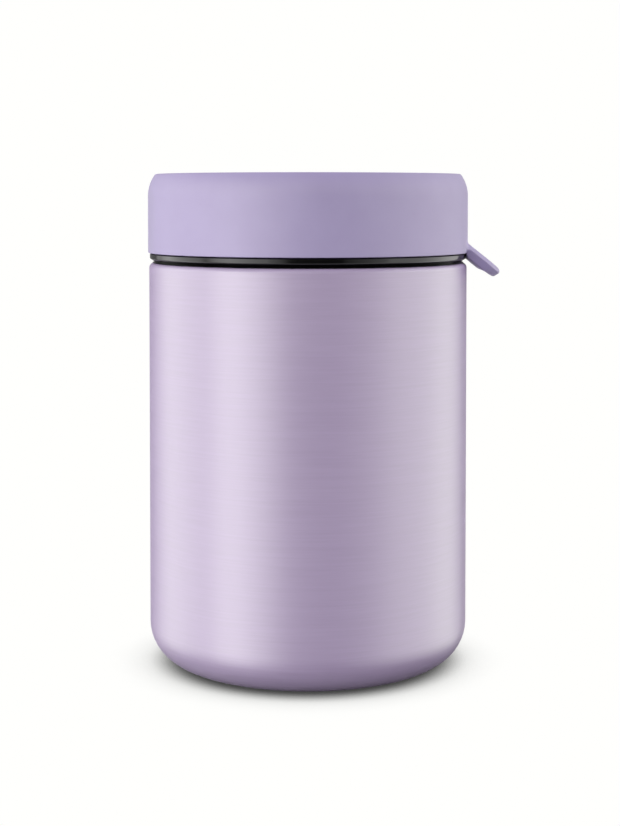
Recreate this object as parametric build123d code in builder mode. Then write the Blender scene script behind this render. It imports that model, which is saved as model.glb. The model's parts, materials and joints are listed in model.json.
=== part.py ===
from build123d import *
import os
from math import asin, cos, degrees, radians, sin, tan

# Vacuum-insulated food container: a double-walled steel jar, a screw lid and a soft lift tab.
# Millimetres and degrees. The origin is on the jar's axis in the plane that the jar stands on,
# +Z is up and the tab points towards +X. Round pieces are sections in the XZ plane, turned about Z.

# Jar seen from outside
body_radius = 45.0
shoulder_height = 112.8
base_corner_radius = 12.6
shoulder_corner_radius = 1.1
foot_ring_width = 3.2

# Steel sheet, vacuum space and what lies in it
sheet = 0.5
bend_radius = 0.8
weld_gap = 0.2
vacuum_gap = 5.0
floor_gap = 3.0
vessel_corner_radius = 10.0
vessel_step_drop = 6.0
vessel_step_length = 8.0
vessel_step_radius = 6.0
foil = 0.15
foil_clearance = 0.1
foil_inset = 3.0
getter_radius = 4.0
getter_height = 2.2
getter_edge = 0.4
getter_offset = 16.0

# Base plate, its evacuation hole and the foot pad
base_lap = 2.4
base_recess = 1.5
base_recess_inset = 0.9
dimple_radius = 6.0
dimple_depth = 1.5
seal_hole_radius = 1.0
solder_radius = 4.0
solder_thickness = 1.0
solder_edge = 0.4
pad_thickness = 1.3
pad_clearance = 0.3
pad_edge = 0.4

# Mouth of the jar and its thread
neck_height = 13.6
neck_foot_width = 2.5
neck_gap = 1.6
thread_starts = 3
thread_lead = 12.0
thread_height = 1.2
thread_root_width = 2.2
thread_crest_width = 1.0
thread_bite = 0.3
thread_clearance = 0.4
thread_play = 0.3
thread_lift = 4.7
neck_thread_span = 110.0
cap_thread_span = 80.0
cap_thread_lag = 15.0

# Lid: black screw cap with its visible ring, and the coloured cover over it
lid_gap = 0.5
flange_height = 2.7
flange_inset = 0.2
flange_round = 1.1
skirt_wall = 1.6
deck_thickness = 1.8
deck_round = 1.2
cover_height = 22.15
cover_overhang = 0.3
cover_wall = 2.2
cover_top = 2.2
cover_clearance = 0.3
cover_edge = 0.4
crown_height = 6.1
crown_radius = 10.0
crown_edge = 0.6
cover_inner_round = 2.5
snap_lift = 5.0
snap_reach = 0.7
snap_half_height = 0.8
snap_clearance = 0.2

# Stopper, its seal and its insulation
stopper_depth = 9.0
stopper_clearance = 0.8
stopper_wall = 1.6
stopper_round = 2.0
stopper_inner_round = 1.0
stopper_flange_width = 2.4
stopper_flange_thickness = 1.6
seal_thickness = 1.8
seal_groove_depth = 0.7
seal_clearance = 0.15
seal_play = 0.15
seal_overlap = 3.0
seal_edge = 0.4
foam_clearance = 0.3
foam_edge = 1.2

# Lift tab: a tongue that slopes down and outwards from the cover's lower edge
tab_slope = 39.0
tab_root_height = 2.4
tab_length = 12.0
tab_width = 20.0
tab_thickness = 3.55
tab_tip_thickness = 2.75
tab_step_start_share = 0.64
tab_step_end_share = 0.78
tab_step_radius = 3.0
tab_corner_radius = 6.0
tab_edge = 0.7
hinge_out = 1.0
barrel_radius = 0.7
barrel_clearance = 0.15
tab_heel_gap = 0.3
tab_seat_gap = 0.2

full_turn = 360.0

# Radii, from the lid's outside inwards to the stopper
cover_radius = body_radius + cover_overhang
cover_inner_radius = cover_radius - cover_wall
flange_radius = body_radius - flange_inset
skirt_radius = cover_inner_radius - cover_clearance
skirt_inner_radius = skirt_radius - skirt_wall
neck_radius = skirt_inner_radius - thread_clearance - thread_height
vessel_neck_radius = neck_radius - sheet - neck_gap
mouth_radius = vessel_neck_radius - sheet
stopper_radius = mouth_radius - stopper_clearance
stopper_inner_radius = stopper_radius - stopper_wall
seal_groove_radius = stopper_radius - seal_groove_depth

# Radii of the jar's walls and base
vessel_radius = body_radius - sheet - vacuum_gap
base_opening_radius = body_radius - base_corner_radius - foot_ring_width
base_recess_radius = base_opening_radius - base_recess_inset

# Heights, from the table upwards
recess_height = sheet + base_recess
dimple_height = recess_height + dimple_depth
floor_height = dimple_height + sheet + floor_gap
step_top = shoulder_height - vessel_step_drop
step_bottom = step_top - vessel_step_length
rim_height = shoulder_height + neck_height
seal_top = rim_height + seal_thickness
deck_bottom = seal_top + stopper_flange_thickness
deck_top = deck_bottom + deck_thickness
stopper_bottom = rim_height - stopper_depth
flange_bottom = shoulder_height + lid_gap
cover_bottom = flange_bottom + flange_height
lid_top = cover_bottom + cover_height
snap_height = cover_bottom + snap_lift

# Tab frame: its top line leaves the cover at tab_root and runs down tab_slope
slope_cos = cos(radians(tab_slope))
slope_sin = sin(radians(tab_slope))
tab_root = Vector(cover_radius, 0, cover_bottom + tab_root_height)
tab_along = Vector(slope_cos, 0, -slope_sin)
tab_normal = Vector(slope_sin, 0, slope_cos)
tab_side = Plane(tab_root, x_dir=tab_along, z_dir=(0, -1, 0))
hinge_point = tab_root + tab_along * hinge_out - tab_normal * barrel_radius
hinge_plane = Plane(hinge_point, x_dir=(1, 0, 0), z_dir=(0, -1, 0))
print("tab hinge at", hinge_point, "top of the lid at", lid_top)

# Outer shell: base corner, straight wall and shoulder in one drawn sheet
with BuildPart() as outer_shell:
    with BuildSketch(Plane.XZ):
        with BuildLine():
            shell_line = FilletPolyline(
                (base_opening_radius, 0),
                (body_radius, 0),
                (body_radius, shoulder_height),
                (neck_radius + weld_gap, shoulder_height),
                radius=(base_corner_radius, shoulder_corner_radius),
            )
            offset(shell_line, amount=sheet, side=Side.LEFT)
        make_face()
    revolve(axis=Axis.Z)

# Base plate: laps onto the foot ring, with a recess and a dimple round the evacuation hole
with BuildPart() as base_plate:
    with BuildSketch(Plane.XZ):
        with BuildLine():
            plate_line = FilletPolyline(
                (seal_hole_radius, dimple_height),
                (dimple_radius, dimple_height),
                (dimple_radius, recess_height),
                (base_recess_radius, recess_height),
                (base_recess_radius, sheet),
                (base_opening_radius + base_lap, sheet),
                radius=bend_radius,
            )
            offset(plate_line, amount=sheet, side=Side.LEFT)
        make_face()
    revolve(axis=Axis.Z)

# Solder bead that closes the evacuation hole from below
with BuildPart() as vacuum_seal:
    with BuildSketch(Plane.XY.offset(dimple_height)):
        Circle(solder_radius)
    extrude(amount=-solder_thickness)
    fillet(vacuum_seal.edges().group_by(Axis.Z)[0], solder_edge)

# Foot pad in the recess of the base plate
with BuildPart() as base_pad:
    with BuildSketch(Plane.XY.offset(recess_height)):
        Circle(base_recess_radius - bend_radius - pad_clearance)
    extrude(amount=-pad_thickness)
    chamfer(base_pad.edges(), pad_edge)

# Getter capsule on the base plate, in the vacuum space
with BuildPart() as getter:
    with BuildSketch(Plane.XY.offset(recess_height + sheet)):
        with Locations((0, getter_offset)):
            Circle(getter_radius)
    extrude(amount=getter_height)
    fillet(getter.edges().group_by(Axis.Z)[-1], getter_edge)

# Inner vessel: floor, wall, step to the neck and the rolled lip that forms the mouth
with BuildPart() as inner_vessel:
    with BuildSketch(Plane.XZ):
        with BuildLine():
            vessel_line = FilletPolyline(
                (0, floor_height),
                (vessel_radius, floor_height),
                (vessel_radius, step_bottom),
                (vessel_neck_radius, step_top),
                (vessel_neck_radius, rim_height - sheet),
                (neck_radius, rim_height - sheet),
                radius=(vessel_corner_radius, vessel_step_radius, vessel_step_radius, bend_radius),
            )
            offset(vessel_line, amount=sheet, side=Side.LEFT)
        make_face()
    revolve(axis=Axis.Z)

# Reflective foil round the vessel's wall
with BuildPart() as foil_wrap:
    with BuildSketch(Plane.XY.offset(floor_height + vessel_corner_radius + foil_inset)):
        Circle(vessel_radius + foil_clearance + foil)
        Circle(vessel_radius + foil_clearance, mode=Mode.SUBTRACT)
    extrude(amount=step_bottom - floor_height - vessel_corner_radius - 2 * foil_inset)

# Reflective foil under the vessel's floor
with BuildPart() as foil_disc:
    with BuildSketch(Plane.XY.offset(floor_height)):
        Circle(vessel_radius - vessel_corner_radius - foil_inset)
    extrude(amount=-foil)


def thread_ridge(radius, reach, start_height, span):
    """One start of the thread: a tapered ridge on a helix, rooted at the radius.

    A positive reach stands outwards, as on the neck, and a negative one inwards, as in the cap.
    """
    bite = thread_bite if reach < 0 else -thread_bite
    flare = (thread_root_width - thread_crest_width) / 2 * thread_bite / thread_height
    root_half = thread_root_width / 2 + flare
    crest_half = thread_crest_width / 2
    with BuildPart() as ridge:
        with BuildLine() as path:
            Helix(thread_lead, thread_lead * span / full_turn, radius, center=(0, 0, start_height))
        with BuildSketch(Plane(path.line @ 0, x_dir=(1, 0, 0), z_dir=path.line % 0)):
            with BuildLine():
                Polyline(
                    (bite, -root_half),
                    (reach, -crest_half),
                    (reach, crest_half),
                    (bite, root_half),
                    close=True,
                )
            make_face()
        sweep(path=path.line, is_frenet=True)
    return ridge.part


# The cap's ridges lie just under the neck's, so that they bear on them when the lid is tight
ridge_taper = (thread_root_width - thread_crest_width) / (2 * thread_height)
ridge_contact = thread_root_width - (thread_height + thread_clearance) * ridge_taper
neck_thread_start = shoulder_height + thread_lift
cap_thread_rise = thread_lead * cap_thread_lag / full_turn
cap_thread_start = neck_thread_start + cap_thread_rise - ridge_contact - thread_play
neck_ridge = thread_ridge(neck_radius, thread_height, neck_thread_start, neck_thread_span)
cap_ridge = thread_ridge(skirt_inner_radius, -thread_height, cap_thread_start, cap_thread_span)

# Neck ring: threaded steel mouth, its foot welded under the shoulder and its top under the lip
with BuildPart() as neck_ring:
    with BuildSketch(Plane.XZ):
        with BuildLine():
            Polyline(
                (neck_radius - sheet, shoulder_height - 2 * sheet),
                (neck_radius + neck_foot_width, shoulder_height - 2 * sheet),
                (neck_radius + neck_foot_width, shoulder_height - sheet),
                (neck_radius, shoulder_height - sheet),
                (neck_radius, rim_height - sheet),
                (neck_radius - sheet, rim_height - sheet),
                close=True,
            )
        make_face()
    revolve(axis=Axis.Z)
    with PolarLocations(0, thread_starts):
        add(neck_ridge)

# Screw cap: deck, threaded skirt with a snap rib, and the ring that shows under the cover
with BuildPart() as screw_cap:
    with BuildSketch(Plane.XZ):
        with BuildLine():
            FilletPolyline(
                (skirt_inner_radius, flange_bottom),
                (flange_radius, flange_bottom),
                (flange_radius, cover_bottom),
                (skirt_radius, cover_bottom),
                (skirt_radius, snap_height - snap_half_height),
                (skirt_radius + snap_reach, snap_height),
                (skirt_radius, snap_height + snap_half_height),
                (skirt_radius, deck_top),
                (0, deck_top),
                (0, deck_bottom),
                (skirt_inner_radius, deck_bottom),
                radius=(0, flange_round, 0, 0, 0, 0, 0, deck_round, 0, 0, 0),
                close=True,
            )
        make_face()
    revolve(axis=Axis.Z)
    with PolarLocations(0, thread_starts, start_angle=cap_thread_lag):
        add(cap_ridge)

# Stopper: hollow plug welded under the deck, with a groove for the seal
with BuildPart() as stopper:
    with BuildSketch(Plane.XZ):
        with BuildLine():
            FilletPolyline(
                (0, stopper_bottom),
                (stopper_radius, stopper_bottom),
                (stopper_radius, rim_height - seal_play),
                (seal_groove_radius, rim_height - seal_play),
                (seal_groove_radius, seal_top),
                (stopper_radius + stopper_flange_width, seal_top),
                (stopper_radius + stopper_flange_width, deck_bottom),
                (stopper_inner_radius, deck_bottom),
                (stopper_inner_radius, stopper_bottom + stopper_wall),
                (0, stopper_bottom + stopper_wall),
                radius=(0, stopper_round, 0, 0, 0, 0, 0, 0, stopper_inner_round, 0),
                close=True,
            )
        make_face()
    revolve(axis=Axis.Z)

# Seal: soft ring in the stopper's groove that rests on the jar's lip
with BuildPart() as seal_ring:
    with BuildSketch(Plane.XY.offset(rim_height)):
        Circle(seal_groove_radius + seal_clearance + seal_overlap)
        Circle(seal_groove_radius + seal_clearance, mode=Mode.SUBTRACT)
    extrude(amount=seal_thickness)
    fillet(seal_ring.edges().filter_by(GeomType.CIRCLE).group_by(SortBy.RADIUS)[-1], seal_edge)

# Insulation inside the stopper
with BuildPart() as lid_foam:
    with BuildSketch(Plane.XY.offset(stopper_bottom + stopper_wall)):
        Circle(stopper_inner_radius - foam_clearance)
    extrude(amount=deck_bottom - foam_clearance - stopper_bottom - stopper_wall)
    chamfer(lid_foam.edges().group_by(Axis.Z)[0], foam_edge)

# Cover: soft cap over the screw cap, with the seat that the tab bends at
wall_middle_radius = (cover_radius + cover_inner_radius) / 2
seat_inner = cover_radius - 2 * cover_wall
seat_outer = hinge_point.X - tab_seat_gap
crown_angle = degrees(asin(crown_height / crown_radius))
with BuildPart() as lid_cover:
    with BuildSketch(Plane.XZ):
        with BuildLine():
            Polyline(
                (seat_inner, cover_bottom),
                (seat_outer, cover_bottom),
                (seat_outer, tab_root.Z + (cover_radius - seat_outer) * tan(radians(tab_slope))),
                (seat_inner, tab_root.Z + (cover_radius - seat_inner) * tan(radians(tab_slope))),
                close=True,
            )
        make_face()
    extrude(amount=tab_width / 2, both=True)
    with BuildSketch(Plane.XY.offset(cover_bottom)):
        Circle(wall_middle_radius)
    extrude(amount=cover_height, mode=Mode.SUBTRACT)
    with BuildSketch(Plane.XZ) as cover_section:
        with BuildLine():
            crown = JernArc((cover_radius, lid_top - crown_height), (0, 1), crown_radius, crown_angle)
            FilletPolyline(
                crown @ 1,
                (0, lid_top),
                (0, lid_top - cover_top),
                (cover_inner_radius, lid_top - cover_top),
                (cover_inner_radius, snap_height + snap_half_height + snap_clearance),
                (skirt_radius + snap_reach + snap_clearance, snap_height),
                (cover_inner_radius, snap_height - snap_half_height - snap_clearance),
                (cover_inner_radius, cover_bottom),
                (cover_radius, cover_bottom),
                crown @ 0,
                radius=(0, 0, cover_inner_round, 0, 0, 0, 0, cover_edge),
            )
        make_face()
        fillet(cover_section.vertices().group_by(Axis.Y)[-1].sort_by(Axis.X)[-1], crown_edge)
    revolve(axis=Axis.Z)
    with BuildSketch(hinge_plane):
        Circle(barrel_radius + barrel_clearance)
    extrude(amount=tab_width, both=True, mode=Mode.SUBTRACT)

# Lift tab: the tongue, thinner towards its tip, and the round barrel that it turns on
step_start = tab_length * tab_step_start_share
step_end = tab_length * tab_step_end_share
heel_top = hinge_out + (tab_heel_gap - barrel_radius * slope_sin) / slope_cos
heel_bottom = hinge_out + (tab_heel_gap + (tab_thickness - barrel_radius) * slope_sin) / slope_cos
with BuildPart() as lift_tab:
    with BuildSketch(tab_side):
        with BuildLine():
            FilletPolyline(
                (heel_top, 0),
                (tab_length, 0),
                (tab_length, -tab_tip_thickness),
                (step_end, -tab_tip_thickness),
                (step_start, -tab_thickness),
                (heel_bottom, -tab_thickness),
                radius=(0, 0, 0, tab_step_radius, tab_step_radius, 0),
                close=True,
            )
        make_face()
    extrude(amount=tab_width / 2, both=True)
    tip_face = lift_tab.faces().sort_by(Axis.X)[-1]
    fillet(tip_face.edges().filter_by(Axis.Y, reverse=True), tab_corner_radius)
    top_face = lift_tab.faces().sort_by(Axis(tab_root, tab_normal))[-1]
    fillet(top_face.edges().sort_by(Axis(tab_root, tab_along))[1:], tab_edge)
    with BuildSketch(hinge_plane):
        Circle(barrel_radius)
    extrude(amount=tab_width / 2, both=True)

pieces = {
    "outer_shell": outer_shell,
    "base_plate": base_plate,
    "vacuum_seal": vacuum_seal,
    "base_pad": base_pad,
    "getter": getter,
    "inner_vessel": inner_vessel,
    "foil_wrap": foil_wrap,
    "foil_disc": foil_disc,
    "neck_ring": neck_ring,
    "screw_cap": screw_cap,
    "stopper": stopper,
    "seal_ring": seal_ring,
    "lid_foam": lid_foam,
    "lid_cover": lid_cover,
    "lift_tab": lift_tab,
}
os.makedirs("parts", exist_ok=True)
for name, piece in pieces.items():
    piece.part.label = name
    export_step(piece.part, f"parts/{name}.step")
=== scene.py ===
import json
import math

import bmesh
import bpy
from mathutils import Matrix, Vector


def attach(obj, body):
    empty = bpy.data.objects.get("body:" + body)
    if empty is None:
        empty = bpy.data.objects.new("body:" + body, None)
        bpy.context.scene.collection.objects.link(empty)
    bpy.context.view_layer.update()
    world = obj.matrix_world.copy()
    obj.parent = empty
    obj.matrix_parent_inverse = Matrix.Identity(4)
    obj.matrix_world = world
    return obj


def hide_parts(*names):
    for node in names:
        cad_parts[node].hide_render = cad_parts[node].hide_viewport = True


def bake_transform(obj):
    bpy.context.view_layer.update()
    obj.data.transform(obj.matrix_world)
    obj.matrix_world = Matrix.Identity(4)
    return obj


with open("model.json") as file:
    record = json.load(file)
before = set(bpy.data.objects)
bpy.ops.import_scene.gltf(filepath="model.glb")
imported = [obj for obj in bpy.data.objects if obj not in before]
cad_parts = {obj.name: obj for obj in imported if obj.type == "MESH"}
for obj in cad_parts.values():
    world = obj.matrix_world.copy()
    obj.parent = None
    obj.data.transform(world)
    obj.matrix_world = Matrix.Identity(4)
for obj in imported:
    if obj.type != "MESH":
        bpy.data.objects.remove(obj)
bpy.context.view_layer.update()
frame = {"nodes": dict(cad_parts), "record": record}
nodes = frame["nodes"]
scene = bpy.context.scene
scene.view_settings.view_transform = "Standard"
MM = 0.001

# Camera: at the height of the lid, tilted a little down
PHOTO_HEIGHT = 826
FOCAL_PIXELS = 1678.8
FILM = 36.0
CAMERA_DISTANCE = 477.87 * MM
CAMERA_HEIGHT = 132.05 * MM
CAMERA_TILT = math.radians(2.216)
CAMERA_SHIFT = (0.0025, -0.1844)

camera_data = bpy.data.cameras.new("photo_camera")
camera_data.sensor_width = FILM
camera_data.lens = FOCAL_PIXELS * FILM / PHOTO_HEIGHT
camera_data.shift_x, camera_data.shift_y = CAMERA_SHIFT
camera = bpy.data.objects.new("photo_camera", camera_data)
camera.location = (0, -CAMERA_DISTANCE, CAMERA_HEIGHT)
camera.rotation_euler = (math.pi / 2 - CAMERA_TILT, 0, 0)
scene.collection.objects.link(camera)
scene.camera = camera


# Node helpers
def node(tree, kind, inputs=None, **settings):
    """A shader node with its settings, and its input sockets set to values or linked to sockets."""
    made = tree.nodes.new(kind)
    for name, value in settings.items():
        setattr(made, name, value)
    for name, value in (inputs or {}).items():
        if isinstance(value, bpy.types.NodeSocket):
            tree.links.new(value, made.inputs[name])
        else:
            made.inputs[name].default_value = value
    return made


def grey(level):
    """A grey of the given level, as a colour."""
    return (level, level, level, 1)


def seen_rays(tree):
    """One for rays from the camera, from gloss and through glass, and nought for the rest."""
    path = node(tree, "ShaderNodeLightPath")
    gloss = node(
        tree,
        "ShaderNodeMath",
        {0: path.outputs["Is Glossy Ray"], 1: path.outputs["Is Transmission Ray"]},
        operation="MAXIMUM",
    )
    seen = node(
        tree,
        "ShaderNodeMath",
        {0: path.outputs["Is Camera Ray"], 1: gloss.outputs[0]},
        operation="MAXIMUM",
    )
    return seen.outputs[0]


def left_to_right(tree, start, end, left_level, right_level):
    """A grey that changes along X, between two places on the piece."""
    place = node(tree, "ShaderNodeTexCoord")
    across = node(tree, "ShaderNodeSeparateXYZ", {0: place.outputs["Object"]})
    share = node(
        tree,
        "ShaderNodeMapRange",
        {"Value": across.outputs[0], "From Min": start, "From Max": end},
    )
    ramp = node(tree, "ShaderNodeValToRGB", {"Fac": share.outputs[0]})
    ramp.color_ramp.elements[0].color = grey(left_level)
    ramp.color_ramp.elements[1].color = grey(right_level)
    return ramp.outputs["Color"]


# Room: white to look at, with its light strongest from the left and weakest from overhead
WHITE = (1.0, 1.0, 0.985, 1.0)
ROOM_TURN = math.radians(-62)
ROOM_AIM = (math.sin(ROOM_TURN), -math.cos(ROOM_TURN), 0.0)
ROOM_RIGHT, ROOM_MIDDLE, ROOM_LEFT = 1.35, 1.28, 2.05
ZENITH_SHARE = 0.5
# A ramp's colours stop at 1, so it holds levels as shares of a scale that the strength gives back
ROOM_SCALE = 2.2

world = bpy.data.worlds.new("white_room")
world.use_nodes = True
scene.world = world
tree = world.node_tree
tree.nodes.clear()
aim = node(tree, "ShaderNodeTexCoord")
lean = node(
    tree,
    "ShaderNodeVectorMath",
    {0: aim.outputs["Generated"], 1: ROOM_AIM},
    operation="DOT_PRODUCT",
)
leftward = node(tree, "ShaderNodeMapRange", {"Value": lean.outputs["Value"], "From Min": -1.0})
level = node(tree, "ShaderNodeValToRGB", {"Fac": leftward.outputs[0]})
level.color_ramp.elements.new(0.5)
for mark, glow in zip(level.color_ramp.elements, (ROOM_RIGHT, ROOM_MIDDLE, ROOM_LEFT)):
    mark.color = tuple(glow / ROOM_SCALE * share for share in WHITE)
climb = node(tree, "ShaderNodeSeparateXYZ", {0: aim.outputs["Generated"]})
fade = node(
    tree,
    "ShaderNodeMapRange",
    {"Value": climb.outputs[2], "To Min": ROOM_SCALE, "To Max": ROOM_SCALE * ZENITH_SHARE},
)
room = node(tree, "ShaderNodeBackground", {"Color": level.outputs["Color"], "Strength": fade.outputs[0]})
backdrop = node(tree, "ShaderNodeBackground", {"Color": WHITE, "Strength": 1.0})
choice = node(tree, "ShaderNodeMixShader", {0: seen_rays(tree), 1: room.outputs[0], 2: backdrop.outputs[0]})
node(tree, "ShaderNodeOutputWorld", {"Surface": choice.outputs[0]})

# Light panels: upright, facing the jar, with angles in degrees from the front
PANEL_DISTANCE = 1.2
PANEL_HEIGHT = 1.8
PANEL_LIFT = -0.15
GLOW_SCALE = 8.0


def softbox(name, side, half_angle, glow):
    """A soft panel at an angle, with its glow as angles and levels across its width, the two ends first."""
    half_width = math.tan(math.radians(half_angle))
    lamp = bpy.data.lights.new(name, "AREA")
    lamp.shape = "RECTANGLE"
    lamp.size = 2 * PANEL_DISTANCE * half_width
    lamp.size_y = PANEL_HEIGHT
    lamp.energy = math.pi * lamp.size * PANEL_HEIGHT * GLOW_SCALE
    lamp.use_nodes = True
    tree = lamp.node_tree
    place = node(tree, "ShaderNodeNewGeometry")
    across = node(tree, "ShaderNodeSeparateXYZ", {0: place.outputs["Parametric"]})
    level = node(tree, "ShaderNodeValToRGB", {"Fac": across.outputs[0]})
    marks = level.color_ramp.elements
    for number, (angle, radiance) in enumerate(glow):
        spot = 0.5 + 0.5 * math.tan(math.radians(angle - side)) / half_width
        mark = marks[number] if number < 2 else marks.new(spot)
        mark.position = min(max(spot, 0.0), 1.0)
        mark.color = grey(radiance / GLOW_SCALE)
    tree.links.new(level.outputs["Color"], tree.nodes["Emission"].inputs["Color"])
    turn = math.radians(side)
    panel = bpy.data.objects.new(name, lamp)
    panel.location = (PANEL_DISTANCE * math.sin(turn), -PANEL_DISTANCE * math.cos(turn), PANEL_LIFT)
    panel.rotation_euler = (math.pi / 2, 0, turn)
    panel.visible_camera = False
    panel.visible_diffuse = False
    scene.collection.objects.link(panel)


softbox(
    "key_panel",
    side=-44,
    half_angle=30,
    glow=((-74, 0.7), (-14, 0.35), (-66, 2.4), (-56, 3.2), (-46, 2.3), (-34, 1.3), (-22, 1.2)),
)
softbox(
    "left_panel",
    side=-104,
    half_angle=25,
    glow=((-128, 0.5), (-79, 0.9), (-116, 1.9), (-100, 1.4)),
)
softbox(
    "right_front_panel",
    side=55,
    half_angle=30,
    glow=((25, 0.2), (85, 1.0), (40, 0.6), (55, 1.1), (70, 0.9)),
)
softbox(
    "right_side_panel",
    side=111,
    half_angle=26,
    glow=((85, 1.0), (137, 0.4), (100, 1.5), (113, 1.8), (124, 1.4)),
)

# A narrow lamp on the tab, from above on the right
TAB_LAMP_PLACE = Vector((0.5, 0.1, 0.9))
TAB_LAMP_TARGET = Vector((0.05, 0, 0.116))

snoot = bpy.data.lights.new("tab_lamp", "SPOT")
snoot.energy = 11.0
snoot.spot_size = math.radians(6)
snoot.spot_blend = 1.0
snoot.shadow_soft_size = 0.05
tab_lamp = bpy.data.objects.new("tab_lamp", snoot)
tab_lamp.location = TAB_LAMP_PLACE
tab_lamp.rotation_euler = (TAB_LAMP_TARGET - TAB_LAMP_PLACE).to_track_quat("-Z", "Y").to_euler()
scene.collection.objects.link(tab_lamp)


# Cards: dull sheets round the jar that show in its reflections alone
def dull_cloth(name, level):
    """A dull cloth of one grey."""
    cloth = bpy.data.materials.new(name)
    cloth.use_nodes = True
    shader = cloth.node_tree.nodes["Principled BSDF"]
    shader.inputs["Base Color"].default_value = grey(level)
    shader.inputs["Roughness"].default_value = 1.0
    return cloth


def reflected_only(piece, cloth):
    """Makes a piece show in reflections alone, with its cloth."""
    piece.visible_camera = False
    piece.visible_diffuse = False
    piece.visible_shadow = False
    piece.data.materials.append(cloth)


def card(name, cloth, width, height, place, lean=0.0, turn=0.0):
    """A flat card of the given size: lean tips it up from lying flat, and turn faces it to one side."""
    bpy.ops.object.select_all(action="DESELECT")
    bpy.ops.mesh.primitive_plane_add(size=1.0, location=place, rotation=(lean, 0, turn))
    sheet = bpy.context.object
    sheet.name = name
    sheet.scale = (width, height, 1)
    reflected_only(sheet, cloth)


UPRIGHT = math.pi / 2
FLAG_ANGLE = math.radians(156)
FLAG_DISTANCE = 1.3
FLAG_LIFT = 0.2

flag_cloth = dull_cloth("flag_cloth", 0.25)
for turn in (-FLAG_ANGLE, FLAG_ANGLE):
    flag_place = (FLAG_DISTANCE * math.sin(turn), -FLAG_DISTANCE * math.cos(turn), FLAG_LIFT)
    card("dark_flag", flag_cloth, width=0.8, height=2.6, place=flag_place, lean=UPRIGHT, turn=turn)
screen_cloth = dull_cloth("screen_cloth", 0.03)
card("front_screen", screen_cloth, width=3.2, height=3.0, place=(0.85, -1.5, 0.2), lean=UPRIGHT)
card("low_card", screen_cloth, width=0.5, height=0.5, place=(0.05, -0.43, -0.3), lean=math.radians(46))
ceiling_paint = dull_cloth("ceiling_paint", 0.2)
card("grey_ceiling", ceiling_paint, width=3.0, height=3.0, place=(0, 0, 1.3))

# Floor: white to look at, with a soft painted contact shadow under the jar; its bounce colour is painted
# lighter on the left, where the key light falls, so it throws more light back there
FLOOR_SIZE = 6.0
FLOOR_DROP = 0.05 * MM
PAINTED_SHADOW_REACH = 30 * MM
PAINTED_SHADOW_LEVEL = 0.05
PAINTED_SHADOW_END = 0.77

bpy.ops.object.select_all(action="DESELECT")
bpy.ops.mesh.primitive_plane_add(size=FLOOR_SIZE, location=(0, 0, -FLOOR_DROP))
floor = bpy.context.object
floor.name = "studio_floor"
floor.visible_glossy = False
floor_paint = bpy.data.materials.new("floor_paint")
floor_paint.use_nodes = True
tree = floor_paint.node_tree
tree.nodes.clear()
# Painted shadow: the white that the camera sees is darkened wherever the jar closes the floor in
closeness = node(tree, "ShaderNodeAmbientOcclusion", {"Distance": PAINTED_SHADOW_REACH}, samples=16)
shade = node(tree, "ShaderNodeValToRGB", {"Fac": closeness.outputs["AO"]})
shade.color_ramp.interpolation = "EASE"
shade.color_ramp.elements[0].color = grey(PAINTED_SHADOW_LEVEL)
shade.color_ramp.elements[1].position = PAINTED_SHADOW_END
shade.color_ramp.elements[1].color = WHITE
floor_with_painted_shadow = node(tree, "ShaderNodeEmission", {"Color": shade.outputs["Color"], "Strength": 1.0})
# Painted light: the floor's bounce colour runs from light on the left to dark on the right, for the key
# light that falls on the left
painted_key_light_bounce = left_to_right(tree, start=-70 * MM, end=50 * MM, left_level=0.5, right_level=0.15)
lit_floor = node(tree, "ShaderNodeBsdfDiffuse", {"Color": painted_key_light_bounce})
path = node(tree, "ShaderNodeLightPath")
choice = node(
    tree,
    "ShaderNodeMixShader",
    {0: path.outputs["Is Camera Ray"], 1: lit_floor.outputs[0], 2: floor_with_painted_shadow.outputs[0]},
)
node(tree, "ShaderNodeOutputMaterial", {"Surface": choice.outputs[0]})
floor.data.materials.append(floor_paint)

# The floor close to the jar, for its reflections: painted shade under the base, and painted lighter on the
# left, where the key light falls
NEAR_RADIUS = 55 * MM
NEAR_DROP = 0.1 * MM
UNDER_BASE = 34 * MM
CLEAR_OF_BASE = 46 * MM
PAINTED_SHADE_SHARE = 0.1

bpy.ops.object.select_all(action="DESELECT")
bpy.ops.mesh.primitive_circle_add(
    vertices=64, radius=NEAR_RADIUS, fill_type="NGON", location=(0, 0, -NEAR_DROP)
)
near_floor = bpy.context.object
near_floor.name = "floor_near"
near_cloth_painted_shade = dull_cloth("near_cloth_painted_shade", 1.0)
tree = near_cloth_painted_shade.node_tree
# Painted shade: the disc's grey falls to a tenth under the base
place = node(tree, "ShaderNodeTexCoord")
away = node(tree, "ShaderNodeVectorMath", {0: place.outputs["Object"]}, operation="LENGTH")
rim = node(
    tree,
    "ShaderNodeMapRange",
    {
        "Value": away.outputs["Value"],
        "From Min": UNDER_BASE,
        "From Max": CLEAR_OF_BASE,
        "To Min": PAINTED_SHADE_SHARE,
    },
)
# Painted light: lighter on the left, for the key light that falls there
painted_key_light_near = left_to_right(tree, start=-40 * MM, end=30 * MM, left_level=0.5, right_level=0.12)
shaded = node(tree, "ShaderNodeVectorMath", {0: painted_key_light_near, "Scale": rim.outputs[0]}, operation="SCALE")
tree.links.new(shaded.outputs[0], tree.nodes["Principled BSDF"].inputs["Base Color"])
reflected_only(near_floor, near_cloth_painted_shade)

# Finishes: each has its own grain, worked out from the piece's own coordinates
GRAIN_LOW, GRAIN_HIGH = 0.3, 0.7


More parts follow.
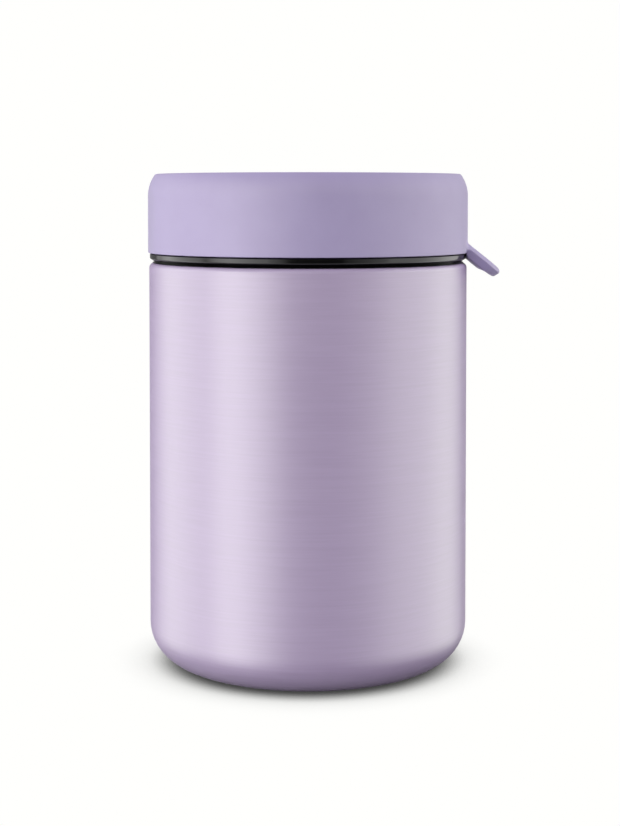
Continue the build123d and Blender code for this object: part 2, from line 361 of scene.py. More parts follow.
def grain(tree, stretch, detail=2.0, soft=0.5, lacing=0.0):
    """A noise in the piece's own coordinates, with stretch as features per metre along X, Y and Z."""
    place = node(tree, "ShaderNodeTexCoord")
    spread = node(tree, "ShaderNodeMapping", {"Vector": place.outputs["Object"], "Scale": stretch})
    noise = node(tree, "ShaderNodeTexNoise", {"Vector": spread.outputs[0], "Scale": 1.0})
    noise.inputs["Detail"].default_value = detail
    noise.inputs["Roughness"].default_value = soft
    noise.inputs["Distortion"].default_value = lacing
    return noise.outputs["Fac"]


def mixed(tree, first, second, share):
    """Two grains laid over each other, with the share of the second one."""
    return node(tree, "ShaderNodeMix", {"Factor": share, "A": first, "B": second}).outputs["Result"]


def between(tree, grains, low, high):
    """A number that runs from low to high over the grain's middle part."""
    made = node(
        tree,
        "ShaderNodeMapRange",
        {"Value": grains, "From Min": GRAIN_LOW, "From Max": GRAIN_HIGH, "To Min": low, "To Max": high},
    )
    return made.outputs[0]


def two_tone(tree, grains, dark, light):
    """A colour that runs from dark to light over the grain's middle part."""
    ramp = node(tree, "ShaderNodeValToRGB", {"Fac": grains})
    ramp.color_ramp.elements[0].position = GRAIN_LOW
    ramp.color_ramp.elements[0].color = (*dark, 1)
    ramp.color_ramp.elements[1].position = GRAIN_HIGH
    ramp.color_ramp.elements[1].color = (*light, 1)
    return ramp.outputs["Color"]


def relief(tree, grains, depth, strength):
    """A bump of the given depth in metres."""
    bump = node(tree, "ShaderNodeBump", {"Height": grains, "Distance": depth, "Strength": strength})
    return bump.outputs["Normal"]


def round_the_axis(tree):
    """The direction round the jar's axis, which turning and brushing follow."""
    return node(tree, "ShaderNodeTangent", direction_type="RADIAL", axis="Z").outputs[0]


def finish(name):
    """A new finish, the tree that its grain goes into, and its shader."""
    made = bpy.data.materials.new(name)
    made.use_nodes = True
    tree = made.node_tree
    tree.nodes.clear()
    shader = node(tree, "ShaderNodeBsdfPrincipled")
    node(tree, "ShaderNodeOutputMaterial", {"Surface": shader.outputs[0]})
    return made, tree, shader


def wire(tree, shader, **sockets):
    """Sets or links the shader's sockets by name, with underscores for spaces."""
    for name, value in sockets.items():
        socket = shader.inputs[name.replace("_", " ").title().replace("Ior", "IOR")]
        if isinstance(value, bpy.types.NodeSocket):
            tree.links.new(value, socket)
        else:
            socket.default_value = value


def brushed_lacquer():
    """Lavender lacquer over horizontally brushed steel."""
    made, tree, shader = finish("lavender_brushed_lacquer")
    hairlines = grain(tree, (55, 55, 1900), soft=0.6)
    streaks = grain(tree, (22, 22, 1100), detail=1.0)
    brushing = mixed(tree, hairlines, streaks, share=0.08)
    wire(
        tree,
        shader,
        base_color=two_tone(tree, brushing, dark=(0.454, 0.335, 0.589), light=(0.495, 0.371, 0.637)),
        roughness=between(tree, brushing, low=0.415, high=0.485),
        normal=relief(tree, brushing, depth=0.02 * MM, strength=0.12),
        tangent=round_the_axis(tree),
        anisotropic=0.6,
        anisotropic_rotation=0.25,
        specular_tint=(0.9, 1.0, 0.72, 1),
        specular_ior_level=0.72,
        ior=2.0,
    )
    return made


def soft_silicone():
    """Soft matt lavender silicone."""
    made, tree, shader = finish("lavender_soft_silicone")
    skin = grain(tree, (5200, 5200, 5200))
    cloud = grain(tree, (90, 90, 90))
    wire(
        tree,
        shader,
        base_color=two_tone(tree, cloud, dark=(0.328, 0.246, 0.58), light=(0.348, 0.266, 0.605)),
        roughness=between(tree, skin, low=0.56, high=0.66),
        normal=relief(tree, skin, depth=0.03 * MM, strength=0.2),
        specular_tint=(0.95, 1.0, 0.6, 1),
        sheen_weight=0.12,
        sheen_roughness=0.5,
        specular_ior_level=1.0,
        ior=1.8,
    )
    return made


def gloss_black():
    """Glossy black moulded plastic."""
    made, tree, shader = finish("gloss_black_plastic")
    flow = grain(tree, (120, 120, 700), detail=3.0)
    wire(
        tree,
        shader,
        base_color=two_tone(tree, flow, dark=(0.003, 0.0028, 0.003), light=(0.005, 0.0047, 0.005)),
        roughness=between(tree, flow, low=0.11, high=0.17),
        normal=relief(tree, flow, depth=0.02 * MM, strength=0.1),
        specular_ior_level=0.46,
    )
    return made


def satin_steel():
    """Bare stainless steel, turned and lightly brushed round the axis."""
    made, tree, shader = finish("satin_stainless_steel")
    turning = grain(tree, (18, 18, 2600), detail=3.0, soft=0.6)
    wire(
        tree,
        shader,
        base_color=two_tone(tree, turning, dark=(0.33, 0.326, 0.32), light=(0.4, 0.396, 0.39)),
        roughness=between(tree, turning, low=0.32, high=0.42),
        normal=relief(tree, turning, depth=0.02 * MM, strength=0.2),
        tangent=round_the_axis(tree),
        metallic=1.0,
        anisotropic=0.5,
    )
    return made


def crinkled_foil():
    """Bright crinkled foil."""
    made, tree, shader = finish("crinkled_foil")
    crinkle = grain(tree, (260, 260, 260), detail=4.0, lacing=0.6)
    wire(
        tree,
        shader,
        base_color=two_tone(tree, crinkle, dark=(0.8, 0.8, 0.81), light=(0.88, 0.88, 0.89)),
        roughness=between(tree, crinkle, low=0.12, high=0.24),
        normal=relief(tree, crinkle, depth=0.2 * MM, strength=0.4),
        metallic=1.0,
    )
    return made


def fused_glass():
    """Dark fused glass."""
    made, tree, shader = finish("dark_solder_glass")
    bubbles = grain(tree, (900, 900, 900), detail=3.0)
    wire(
        tree,
        shader,
        base_color=two_tone(tree, bubbles, dark=(0.02, 0.02, 0.025), light=(0.05, 0.05, 0.06)),
        roughness=between(tree, bubbles, low=0.08, high=0.2),
        normal=relief(tree, bubbles, depth=0.1 * MM, strength=0.2),
    )
    return made


def moulded(name, dark, light, fineness, rough, depth):
    """Matt moulded rubber, plastic or foam, with an even grain."""
    made, tree, shader = finish(name)
    speckle = grain(tree, (fineness, fineness, fineness), detail=3.0)
    wire(
        tree,
        shader,
        base_color=two_tone(tree, speckle, dark, light),
        roughness=between(tree, speckle, *rough),
        normal=relief(tree, speckle, depth, strength=0.3),
    )
    return made


finishes = {
    "lacquered_steel": brushed_lacquer(),
    "bare_steel": satin_steel(),
    "foil": crinkled_foil(),
    "solder_glass": fused_glass(),
    "foot_rubber": moulded(
        "matt_foot_rubber",
        dark=(0.075, 0.075, 0.083),
        light=(0.1, 0.1, 0.11),
        fineness=2500,
        rough=(0.6, 0.75),
        depth=0.05 * MM,
    ),
    "lid_silicone": soft_silicone(),
    "black_plastic": gloss_black(),
    "grey_plastic": moulded(
        "satin_grey_plastic",
        dark=(0.05, 0.05, 0.054),
        light=(0.065, 0.065, 0.07),
        fineness=3500,
        rough=(0.38, 0.5),
        depth=0.03 * MM,
    ),
    "seal_silicone": moulded(
        "white_seal_silicone",
        dark=(0.7, 0.69, 0.67),
        light=(0.78, 0.77, 0.75),
        fineness=1500,
        rough=(0.35, 0.5),
        depth=0.03 * MM,
    ),
    "insulation_foam": moulded(
        "white_foam_cells",
        dark=(0.76, 0.76, 0.73),
        light=(0.88, 0.88, 0.85),
        fineness=1100,
        rough=(0.8, 0.95),
        depth=0.3 * MM,
    ),
}
for subpart in frame["record"]["subparts"]:
    nodes[subpart["node"]].data.materials[0] = finishes[subpart["material_slot"]]

# Modelling helpers: each works on the piece that is open in edit mode, in millimetres
SAME_PLACE = 0.001
CLOSE = 0.01
SEAM_GAP = 0.002
ARC_STEP_DEGREES = 7.5
SMOOTH_UNDER = math.radians(40)
ROUND_STEPS = 240
HIDDEN_ROUND_STEPS = 192


def pick(kind, test):
    """Selects the corners, edges or faces whose ends and middle pass the test, and nothing else."""
    bpy.ops.mesh.select_mode(type=kind)
    bpy.ops.mesh.select_all(action="DESELECT")
    mesh = bmesh.from_edit_mesh(bpy.context.edit_object.data)
    groups = {"VERT": mesh.verts, "EDGE": mesh.edges, "FACE": mesh.faces}
    for item in groups[kind]:
        places = [item.co] if kind == "VERT" else [corner.co for corner in item.verts]
        middle = sum(places, Vector()) / len(places)
        if all(test(place / MM) for place in (*places, middle)):
            item.select_set(True)
    mesh.select_flush_mode()
    bmesh.update_edit_mesh(bpy.context.edit_object.data)


def draw_out(x, y, z):
    """Extrudes what is selected."""
    bpy.ops.mesh.extrude_region_move(TRANSFORM_OT_translate={"value": (x * MM, y * MM, z * MM)})


def move(x, y, z):
    """Moves what is selected."""
    bpy.ops.transform.translate(value=(x * MM, y * MM, z * MM))


def widen(share):
    """Scales what is selected across the piece's width, along Y."""
    bpy.ops.transform.resize(value=(1, share, 1), center_override=(0, 0, 0))


def round_off(offset, segments=4):
    """Bevels the selected edges."""
    bpy.ops.mesh.bevel(offset=offset * MM, segments=segments, affect="EDGES")


def slice_across(point, normal):
    """Cuts new edges right round the piece, in the plane through a point."""
    bpy.ops.mesh.select_all(action="SELECT")
    bpy.ops.mesh.bisect(plane_co=[c * MM for c in point], plane_no=normal)


def face_outwards():
    """Turns all the faces outwards."""
    bpy.ops.mesh.select_all(action="SELECT")
    bpy.ops.mesh.normals_make_consistent(inside=False)


def side_view(name, points):
    """A new piece's closed side view, drawn corner by corner from a small plane merged to a point."""
    bpy.ops.object.select_all(action="DESELECT")
    bpy.ops.mesh.primitive_plane_add(size=MM, location=[c * MM for c in points[0]])
    piece = bpy.context.object
    piece.name = name
    bpy.ops.object.transform_apply(location=True, rotation=False, scale=False)
    bpy.ops.object.mode_set(mode="EDIT")
    bpy.ops.mesh.select_mode(type="VERT")
    bpy.ops.mesh.select_all(action="SELECT")
    bpy.ops.mesh.merge(type="CENTER")
    for here, there in zip(points, points[1:]):
        draw_out(*(b - a for a, b in zip(here, there)))
    first, last = Vector(points[0]), Vector(points[-1])
    pick("VERT", lambda p: (p - first).length < SAME_PLACE or (p - last).length < SAME_PLACE)
    bpy.ops.mesh.edge_face_add()
    bpy.ops.mesh.select_all(action="SELECT")
    return piece


def close_piece(piece):
    """Faces outwards, back to object mode, smooth over soft edges and even over flat ones."""
    face_outwards()
    bpy.ops.object.mode_set(mode="OBJECT")
    bpy.ops.object.shade_smooth_by_angle(angle=SMOOTH_UNDER)
    even = piece.modifiers.new("even_shading", "WEIGHTED_NORMAL")
    even.keep_sharp = True
    bpy.ops.object.modifier_apply(modifier=even.name)


def rounded(*corners):
    """Points of a line through corners given as radius from the axis, height and rounding."""
    points = []
    for number, (x, z, rounding) in enumerate(corners):
        here = Vector((x, z))
        if rounding == 0:
            points.append(here)
            continue
        back = (Vector(corners[number - 1][:2]) - here).normalized()
        on = (Vector(corners[(number + 1) % len(corners)][:2]) - here).normalized()
        half = back.angle(on) / 2
        centre = here + (back + on).normalized() * rounding / math.sin(half)
        start = here + back * rounding / math.tan(half) - centre
        turn = math.pi - 2 * half
        side = -1 if back.cross(on) > 0 else 1
        steps = max(2, math.ceil(math.degrees(turn) / ARC_STEP_DEGREES))
        for step in range(steps + 1):
            points.append(centre + Matrix.Rotation(side * turn * step / steps, 2) @ start)
    return [(p.x, 0.0, p.y) for p in points]


def turned(name, *corners, steps=ROUND_STEPS):
    """A round piece: its rounded side view spun about the axis, with the seam closed."""
    piece = side_view(name, rounded(*corners))
    bpy.ops.mesh.spin(steps=steps, angle=2 * math.pi, center=(0, 0, 0), axis=(0, 0, 1))
    bpy.ops.mesh.select_all(action="SELECT")
    bpy.ops.mesh.remove_doubles(threshold=SEAM_GAP * MM)
    close_piece(piece)
    return piece


def join_on(piece, others):
    """Joins other objects to the piece, with their turns applied."""
    bpy.ops.object.select_all(action="DESELECT")
    for other in others:
        other.select_set(True)
    bpy.context.view_layer.objects.active = others[0]
    bpy.ops.object.transform_apply(location=False, rotation=True, scale=False)
    piece.select_set(True)
    bpy.context.view_layer.objects.active = piece
    bpy.ops.object.join()


def coat(piece, slot):
    """Gives the piece the finish of its slot, in place of any other."""
    piece.data.materials.clear()
    piece.data.materials.append(finishes[slot])


def hand_over(piece, body, slot, replaced):
    """Gives the piece its finish and the body that it rides on, and hides the CAD node that it stands for.
    """
    coat(piece, slot)
    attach(piece, body)
    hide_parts(replaced)


# Pieces: their sizes are in millimetres, with radii from the jar's axis and heights from the floor

# Outer shell: one drawn sheet with the base round, the straight wall and the shoulder
BODY_RADIUS = 45.0
SHEET = 0.5
SHOULDER = 113.15
SHOULDER_ROUND = 1.4
SHOULDER_BORE = 39.8
BASE_ROUND = 11.5
BASE_BORE = 29.2

shell = turned(
    "drawn_shell",
    (BASE_BORE, 0, 0),
    (BODY_RADIUS, 0, BASE_ROUND),
    (BODY_RADIUS, SHOULDER, SHOULDER_ROUND),
    (SHOULDER_BORE, SHOULDER, 0),
    (SHOULDER_BORE, SHOULDER - SHEET, 0),
    (BODY_RADIUS - SHEET, SHOULDER - SHEET, SHOULDER_ROUND - SHEET),
    (BODY_RADIUS - SHEET, SHEET, BASE_ROUND - SHEET),
    (BASE_BORE, SHEET, 0),
)
hand_over(shell, "jar", "lacquered_steel", "outer_shell")

# Cover: soft cap with a shallow crown, and the groove that snaps over the cap's rib
COVER_RADIUS = 45.3
COVER_BORE = 43.1
COVER_BOTTOM = 116.0
COVER_TOP = 138.15
COVER_ROOF = 2.2
ROOF_ROUND = 2.5
LOWER_EDGE_ROUND = 0.25
BORE_EDGE_ROUND = 0.3
CROWN_HEIGHT = 6.1
CROWN_RADIUS = 10.0
CROWN_STEPS = 8
CROWN_TURN = math.asin(CROWN_HEIGHT / CROWN_RADIUS)
TOP_EDGE_ROUND = 0.6
SNAP_HEIGHT = 121.0
SNAP_GROOVE_DEPTH = 0.7
SNAP_GROOVE_HALF = 1.0


def crown_point(share):
    """A place on the crown's arc, from the cover's straight side (0) to its flat top (1)."""
    turn = CROWN_TURN * share
    radius = COVER_RADIUS - CROWN_RADIUS * (1 - math.cos(turn))
    return radius, COVER_TOP - CROWN_HEIGHT + CROWN_RADIUS * math.sin(turn)


cover = turned(
    "soft_cover",
    (COVER_BORE, COVER_BOTTOM, BORE_EDGE_ROUND),
    (COVER_RADIUS, COVER_BOTTOM, LOWER_EDGE_ROUND),
    *((*crown_point(step / CROWN_STEPS), 0) for step in range(CROWN_STEPS)),
    (*crown_point(1), TOP_EDGE_ROUND),
    (0, COVER_TOP, 0),
    (0, COVER_TOP - COVER_ROOF, 0),
    (COVER_BORE, COVER_TOP - COVER_ROOF, ROOF_ROUND),
    (COVER_BORE, SNAP_HEIGHT + SNAP_GROOVE_HALF, 0),
    (COVER_BORE + SNAP_GROOVE_DEPTH, SNAP_HEIGHT, 0),
    (COVER_BORE, SNAP_HEIGHT - SNAP_GROOVE_HALF, 0),
)
hand_over(cover, "lid", "lid_silicone", "lid_cover")

# Screw cap: deck, skirt with a snap rib, and the ring that shows, set back under the cover
SKIRT_RADIUS = 42.8
SKIRT_BORE = 41.2
CAP_TOP = 131.6
CAP_EDGE_ROUND = 1.2
DECK = 1.8
DECK_ROUND = 0.8
SNAP_RIB_REACH = 0.7
SNAP_RIB_HALF = 0.8
SNAP_RIB_ROUND = 0.3
RING_RADIUS = 44.8
RING_BOTTOM = 113.2
RING_CHAMFER_TOP = 114.45
RING_CHAMFER_ROUND = 0.4
RING_TOP = 115.7
RING_TOP_ROUND = 0.2
RING_TOP_SLOPE_END = (43.3, 115.95)
LIP_UNDERSIDE = 43.8
LIP_EDGE = (44.1, 113.28)
LIP_ROOT = (43.5, 113.57)

cap = turned(
    "ringed_cap",
    (SKIRT_BORE, RING_BOTTOM, 0),
    (LIP_UNDERSIDE, RING_BOTTOM, 0),
    (*LIP_EDGE, 0),
    (*LIP_ROOT, 0),
    (RING_RADIUS, RING_CHAMFER_TOP, RING_CHAMFER_ROUND),
    (RING_RADIUS, RING_TOP, RING_TOP_ROUND),
    (*RING_TOP_SLOPE_END, 0),
    (SKIRT_RADIUS, COVER_BOTTOM, 0),
    (SKIRT_RADIUS, SNAP_HEIGHT - SNAP_RIB_HALF, 0),
    (SKIRT_RADIUS + SNAP_RIB_REACH, SNAP_HEIGHT, SNAP_RIB_ROUND),
    (SKIRT_RADIUS, SNAP_HEIGHT + SNAP_RIB_HALF, 0),
    (SKIRT_RADIUS, CAP_TOP, CAP_EDGE_ROUND),
    (0, CAP_TOP, 0),
    (0, CAP_TOP - DECK, 0),
    (SKIRT_BORE, CAP_TOP - DECK, DECK_ROUND),
)

# Threads: one rounded ridge wound on a helix, run out at both ends, and copied to each start
THREAD_LEAD = 12.0
THREAD_STARTS = 3
THREAD_STEP_DEGREES = 2
ROW_COSINE = math.cos(math.radians(0.45 * THREAD_STEP_DEGREES))
RIDGE = ((-0.3, -1.25), (0.0, -1.1), (0.5, -0.84), (0.95, -0.6), (1.15, -0.35), (1.2, 0.0))
RUN_OUT_STEPS = 8
RUN_OUT_SINK = 1.25
RUN_OUT_EASE = 1.5


def thread(name, radius, outward, start_height, start_angle, span):
    """All the starts of a thread on a wall of the given radius, standing outwards (1) or inwards (-1)."""
    rise = [*RIDGE, *((reach, -half) for reach, half in reversed(RIDGE[:-1]))]
    ridge = side_view(name, [(radius + outward * reach, 0, start_height + half) for reach, half in rise])
    bpy.ops.object.mode_set(mode="OBJECT")
    winding = ridge.modifiers.new("winding", "SCREW")
    winding.angle = math.radians(span)
    winding.screw_offset = THREAD_LEAD * span / 360 * MM
    winding.steps = winding.render_steps = span // THREAD_STEP_DEGREES
    bpy.ops.object.modifier_apply(modifier=winding.name)
    bpy.ops.object.mode_set(mode="EDIT")
    bpy.ops.mesh.select_all(action="SELECT")
    bpy.ops.mesh.fill_holes(sides=0)
    for step in range(RUN_OUT_STEPS):
        sink = -outward * RUN_OUT_SINK * (1 - math.sin(math.pi / 2 * step / RUN_OUT_STEPS)) ** RUN_OUT_EASE
        for angle in (THREAD_STEP_DEGREES * step, span - THREAD_STEP_DEGREES * step):
            turn = math.radians(angle)
            aim = Vector((math.cos(turn), math.sin(turn), 0))
            pick("VERT", lambda p: Vector((p.x, p.y, 0)).normalized().dot(aim) > ROW_COSINE)
            move(*(aim * sink))
    face_outwards()
    bpy.ops.object.mode_set(mode="OBJECT")
    bpy.ops.object.shade_smooth_by_angle(angle=SMOOTH_UNDER)
    starts = [ridge, *(ridge.copy() for _ in range(THREAD_STARTS - 1))]
    for start in starts[1:]:
        start.data = ridge.data.copy()
        scene.collection.objects.link(start)
    for number, start in enumerate(starts):
        start.rotation_euler.z = math.radians(start_angle + 360 * number / THREAD_STARTS)
    return starts


join_on(cap, thread("cap_thread", SKIRT_BORE, outward=-1, start_height=116.3, start_angle=15, span=80))
hand_over(cap, "lid", "black_plastic", "screw_cap")

# Neck: steel mouth ring with its rolled thread
NECK_RADIUS = 39.6
NECK_BORE = NECK_RADIUS - SHEET
NECK_TOP = 125.9
NECK_FLANGE = 42.1
FLANGE_TOP = SHOULDER - SHEET

neck = turned(
    "threaded_neck",
    (NECK_BORE, FLANGE_TOP - SHEET, 0),
    (NECK_FLANGE, FLANGE_TOP - SHEET, 0),
    (NECK_FLANGE, FLANGE_TOP, 0),
    (NECK_RADIUS, FLANGE_TOP, 0),
    (NECK_RADIUS, NECK_TOP, 0),
    (NECK_BORE, NECK_TOP, 0),
)
join_on(neck, thread("neck_thread", NECK_RADIUS, outward=1, start_height=117.5, start_angle=0, span=110))
hand_over(neck, "jar", "bare_steel", "neck_ring")

# Seal: soft ring with an upper and a lower lip, each corner as radius, height from the middle and rounding
SEAL_MIDDLE = 127.3
SEAL_CORNERS = ((35.65, 0.6, 0.3), (36.6, 0.7, 0.3), (38.65, 0.9, 0.2), (38.65, 0.45, 0.2))
SEAL_THROAT = (37.6, SEAL_MIDDLE, 0.25)

seal = turned(
    "lipped_seal",
    *((radius, SEAL_MIDDLE - height, rounding) for radius, height, rounding in SEAL_CORNERS),
    SEAL_THROAT,
    *((radius, SEAL_MIDDLE + height, rounding) for radius, height, rounding in reversed(SEAL_CORNERS)),
    steps=HIDDEN_ROUND_STEPS,
)
hand_over(seal, "seal", "seal_silicone", "seal_ring")

# Foot pad: soft disc with round grooves underneath
PAD_RADIUS = 27.2
PAD_TOP = 2.0
PAD_BOTTOM = 0.7
PAD_CHAMFER = 0.4
PAD_EDGE_ROUND = 0.4
GROOVE_MIDDLES = (21.5, 16.0, 10.5, 5.0)
GROOVE_TOP = 1.2
GROOVE_TOP_HALF = 0.6
GROOVE_MOUTH_HALF = 0.9
PAD_ROUND = 0.2

grooves = []
for middle in GROOVE_MIDDLES:
    grooves += [
        (middle + GROOVE_MOUTH_HALF, PAD_BOTTOM, PAD_ROUND),
        (middle + GROOVE_TOP_HALF, GROOVE_TOP, PAD_ROUND),
        (middle - GROOVE_TOP_HALF, GROOVE_TOP, PAD_ROUND),
        (middle - GROOVE_MOUTH_HALF, PAD_BOTTOM, PAD_ROUND),
    ]
pad = turned(
    "grooved_pad",
    (0, PAD_TOP, 0),
    (PAD_RADIUS - PAD_CHAMFER, PAD_TOP, 0),
    (PAD_RADIUS, PAD_TOP - PAD_CHAMFER, PAD_ROUND),
    (PAD_RADIUS, PAD_BOTTOM, PAD_EDGE_ROUND),
    *grooves,
    (0, PAD_BOTTOM, 0),
    steps=HIDDEN_ROUND_STEPS,
)
hand_over(pad, "jar", "foot_rubber", "base_pad")

# Lift tab: a soft tongue that grows out of the cover's lower edge and bends at its root
TAB_SLOPE = math.radians(38.6)
TAB_ROOT = (COVER_RADIUS, 118.45)
TAB_LENGTH = 12.0
TAB_HALF_WIDTH = 10.0
TAB_THICKNESS = 3.42
TAB_MID_DEPTH = 1.7
TAB_LEAN = 0.04
TAB_SIDE = 8.0
TAB_INNER = 43.6
TAB_HEEL = 45.15
TAB_HEEL_TOP = 116.3
TAB_TIP_SETBACK = 0.5
TAB_TIP_CORNER = 6.0
TAB_TIP_MARGIN = 0.1
TAB_BAND = 1.0
TAB_BAND_WIDTH = 2.4
TAB_BAND_TIP = 0.4
TAB_EDGE_ROUND = 0.3
TAB_TOP_ROUND = 4.5
TAB_LOWER_ROUND = 0.55
STEP_START = 7.0
STEP_PITCH = 0.4
STEP_RISES = (0.02, 0.07, 0.12, 0.14, 0.12, 0.07, 0.02)
STEP_MARGIN = 0.05
HEEL_FROM = TAB_INNER + 0.1
HEEL_TO = TAB_HEEL + 0.6
HEEL_SLICES = range(-8, 9, 2)
ROOT_ROWS = (-0.6, -0.2, 0.2, 0.6, 1.0, 1.4, 1.8, 2.3, 2.9, 3.6, 4.5)
along = (math.cos(TAB_SLOPE), -math.sin(TAB_SLOPE))
upward = (math.sin(TAB_SLOPE), math.cos(TAB_SLOPE))
tip_start = TAB_LENGTH - TAB_TIP_CORNER
band_foot = TAB_HALF_WIDTH * (1 - TAB_LEAN * TAB_BAND)
band_head = band_foot - TAB_BAND_WIDTH


def tab_point(length, height):
    """A point in the tab's side view: so far down its slope and so far above its top line."""
    return tuple(TAB_ROOT[i] + length * along[i] + height * upward[i] for i in (0, 1))


def tab_point_at(x, height):
    """A point in the tab's side view: so far from the axis and so far above the tab's top line."""
    return tab_point((x - TAB_ROOT[0] - height * upward[0]) / along[0], height)


def down_slope(p):
    """How far down the tab's slope a point is."""
    return (p.x - TAB_ROOT[0]) * along[0] + (p.z - TAB_ROOT[1]) * along[1]


def above_top(p):
    """How far above the tab's top line a point is."""
    return (p.x - TAB_ROOT[0]) * upward[0] + (p.z - TAB_ROOT[1]) * upward[1]


def slice_tab(length):
    """Cuts new edges right across the tab, so far down its slope."""
    x, z = tab_point(length, 0)
    slice_across((x, 0, z), (along[0], 0, along[1]))


corners = [
    tab_point_at(TAB_INNER, -TAB_BAND),
    tab_point(TAB_LENGTH, -TAB_BAND),
    tab_point(TAB_LENGTH - TAB_TIP_SETBACK, -TAB_THICKNESS),
    tab_point_at(TAB_HEEL, -TAB_THICKNESS),
    (TAB_HEEL, TAB_HEEL_TOP),
    (TAB_INNER, TAB_HEEL_TOP),
]
heel_bottom = corners[3][1]
tab = side_view("lift_tongue", [(x, -TAB_HALF_WIDTH, z) for x, z in corners])
bpy.ops.mesh.edge_face_add()
draw_out(0, 2 * TAB_HALF_WIDTH, 0)
face_outwards()

# Sides that lean in towards the underside
for x, z in corners:
    depth = -above_top(Vector((x, 0, z)))
    pick("VERT", lambda p: math.hypot(p.x - x, p.z - z) < CLOSE)
    widen(1 - TAB_LEAN * depth)

# Rounded corners at the tip
pick("EDGE", lambda p: down_slope(p) > TAB_LENGTH - TAB_TIP_SETBACK - CLOSE and abs(p.y) > TAB_SIDE)
round_off(TAB_TIP_CORNER, segments=9)

# Sloping band round the top: the top face drawn up and narrowed, and set back at the tip
pick("FACE", lambda p: above_top(p) > -TAB_BAND - CLOSE)
draw_out(TAB_BAND * upward[0], 0, TAB_BAND * upward[1])
widen(band_head / band_foot)
mesh = bmesh.from_edit_mesh(tab.data)
for corner in mesh.verts:
    reach = down_slope(corner.co / MM) - tip_start
    if corner.select and reach > 0:
        back = TAB_BAND_TIP * reach / TAB_TIP_CORNER
        corner.co.x -= back * along[0] * MM
        corner.co.z -= back * along[1] * MM
bmesh.update_edit_mesh(tab.data)

# Soft edges below and above the band, along the sides and round the tip
band_turn = math.atan(TAB_BAND / TAB_BAND_WIDTH)
edge_turn = math.pi / 2 + math.atan(TAB_LEAN * TAB_HALF_WIDTH) - band_turn
for height, half_width, turn, rounding in (
    (-TAB_BAND, band_foot, edge_turn, TAB_EDGE_ROUND),
    (0, band_head, band_turn, TAB_TOP_ROUND),
):
    pick(
        "EDGE",
        lambda p: abs(above_top(p) - height) < CLOSE
        and (abs(p.y) > half_width - CLOSE or down_slope(p) > tip_start - TAB_TIP_MARGIN),
    )
    round_off(rounding * math.tan(turn / 2))

# Tighter edge below and up the heel
pick(
    "EDGE",
    lambda p: above_top(p) < CLOSE - TAB_THICKNESS or abs(p.x - TAB_HEEL) < CLOSE and abs(p.y) > TAB_SIDE,
)
round_off(TAB_LOWER_ROUND)

# Thinner towards the tip, by a soft step on the underside
step_places = [STEP_START + STEP_PITCH * number for number in range(len(STEP_RISES) + 1)]
for length in step_places:
    slice_tab(length)
for length, rise in zip(step_places[1:], STEP_RISES):
    pick("VERT", lambda p: down_slope(p) > length - STEP_MARGIN and above_top(p) < -TAB_MID_DEPTH)
    move(rise * upward[0], 0, rise * upward[1])

# Heel that follows the round of the cover: each of its corners goes back by its place across the width
for width in HEEL_SLICES:
    slice_across((0, width, 0), (0, 1, 0))
pick("VERT", lambda p: HEEL_FROM < p.x < HEEL_TO and p.z < TAB_HEEL_TOP + CLOSE)
mesh = bmesh.from_edit_mesh(tab.data)
for corner in mesh.verts:
    if corner.select:
        back = math.sqrt(TAB_HEEL**2 - (corner.co.y / MM) ** 2) - TAB_HEEL
        depth = (TAB_HEEL_TOP - corner.co.z / MM) / (TAB_HEEL_TOP - heel_bottom)
        corner.co.x += back * MM
        corner.co.z -= back * math.tan(TAB_SLOPE) * depth * MM
bmesh.update_edit_mesh(tab.data)

# Rows across the root
for length in ROOT_ROWS:
    slice_tab(length)
close_piece(tab)

# Fillet between the tab and the cover: its section at each place on the tab's outline, skinned in a row
FILLET_ON_TAB = 1.7
FILLET_ON_COVER = 2.4
FILLET_STEPS = 12
FILLET_SINK = 0.015
FILLET_DEPTH = 0.4
FILLET_GROWTH = 1.5
FILLET_LEAST = 0.03
FILLET_TOP_CUT = 0.6
FILLET_SIDE_HEIGHTS = (-2.6, -2.4, -2.2, -2.0, -1.8, -1.6, -1.4)
FILLET_TOP_PLACES = range(6, -1, -1)


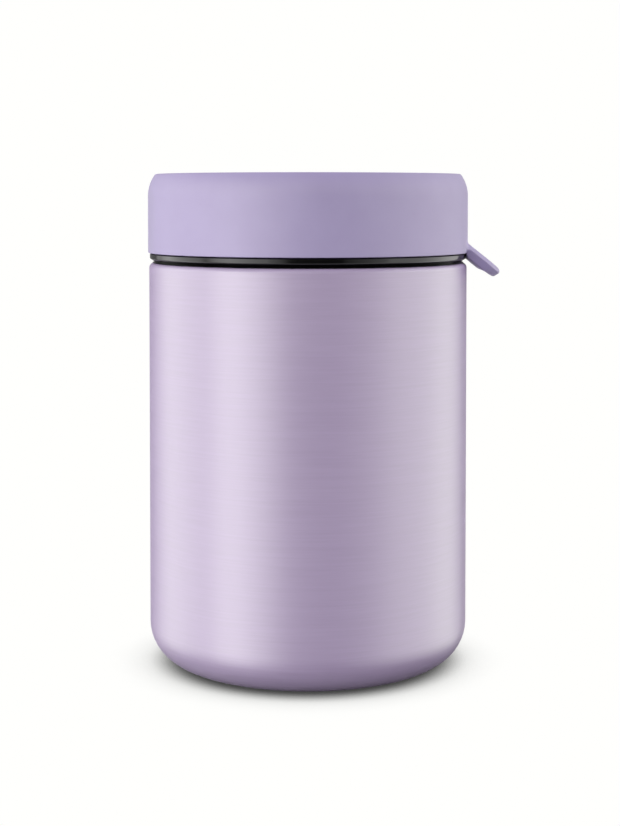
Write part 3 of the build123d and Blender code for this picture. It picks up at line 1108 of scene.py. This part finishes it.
def fillet_section(y, height, out):
    """The fillet's section at a place on the tab's outline, given the outline's outward direction there."""
    wall = math.sqrt(COVER_RADIUS**2 - y**2)
    corner = Vector((wall, y, tab_point_at(wall, height)[1]))
    growth = min(max((corner.z - COVER_BOTTOM) / FILLET_GROWTH, 0.0), 1.0)
    share = FILLET_LEAST + (1 - FILLET_LEAST) * growth * growth * (3 - 2 * growth)
    share *= 1 - FILLET_TOP_CUT * max(out[1], 0.0)
    radial = Vector((wall, y, 0)).normalized()
    side = Vector((out[1] * upward[0], out[0], out[1] * upward[1]))
    climb = (side - radial * side.dot(radial)).normalized()
    foot = corner + Vector((along[0], 0, along[1])) * FILLET_ON_TAB * share - side * FILLET_SINK
    head = corner + climb * FILLET_ON_COVER * share
    head.xy *= (COVER_RADIUS - FILLET_SINK) / head.xy.length
    section = []
    for step in range(FILLET_STEPS + 1):
        t = step / FILLET_STEPS
        section.append(foot * (1 - t) ** 2 + corner * 2 * t * (1 - t) + head * t**2)
    section.append(corner - (radial + side) * FILLET_DEPTH)
    return section


half_outline = rounded(
    *((TAB_HALF_WIDTH * (1 + TAB_LEAN * height), height, 0) for height in FILLET_SIDE_HEIGHTS),
    (band_foot, -TAB_BAND, TAB_EDGE_ROUND),
    (band_head, 0, TAB_TOP_ROUND),
    *((y, 0, 0) for y in FILLET_TOP_PLACES),
)
half = []
for number, (y, _, height) in enumerate(half_outline[:-1]):
    before = Vector(half_outline[max(number - 1, 0)])
    travel = (Vector(half_outline[number + 1]) - before).normalized()
    half.append((y, height, (travel.z, -travel.x)))
outline = [*half, (0, 0, (0, 1)), *((-y, height, (-out[0], out[1])) for y, height, out in reversed(half))]
mesh = bmesh.new()
rows = [[mesh.verts.new(point * MM) for point in fillet_section(*place)] for place in outline]
for here, there in zip(rows, rows[1:]):
    for number in range(len(here)):
        mesh.faces.new((here[number - 1], here[number], there[number], there[number - 1]))
mesh.faces.new(rows[0])
mesh.faces.new(rows[-1])
fillet_mesh = bpy.data.meshes.new("tab_fillet")
mesh.to_mesh(fillet_mesh)
mesh.free()
fillet = bpy.data.objects.new("tab_fillet", fillet_mesh)
scene.collection.objects.link(fillet)
bpy.ops.object.select_all(action="DESELECT")
fillet.select_set(True)
bpy.context.view_layer.objects.active = fillet
bpy.ops.object.mode_set(mode="EDIT")
close_piece(fillet)
join_on(tab, [fillet])
coat(tab, "lid_silicone")
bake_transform(tab)
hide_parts("lift_tab")
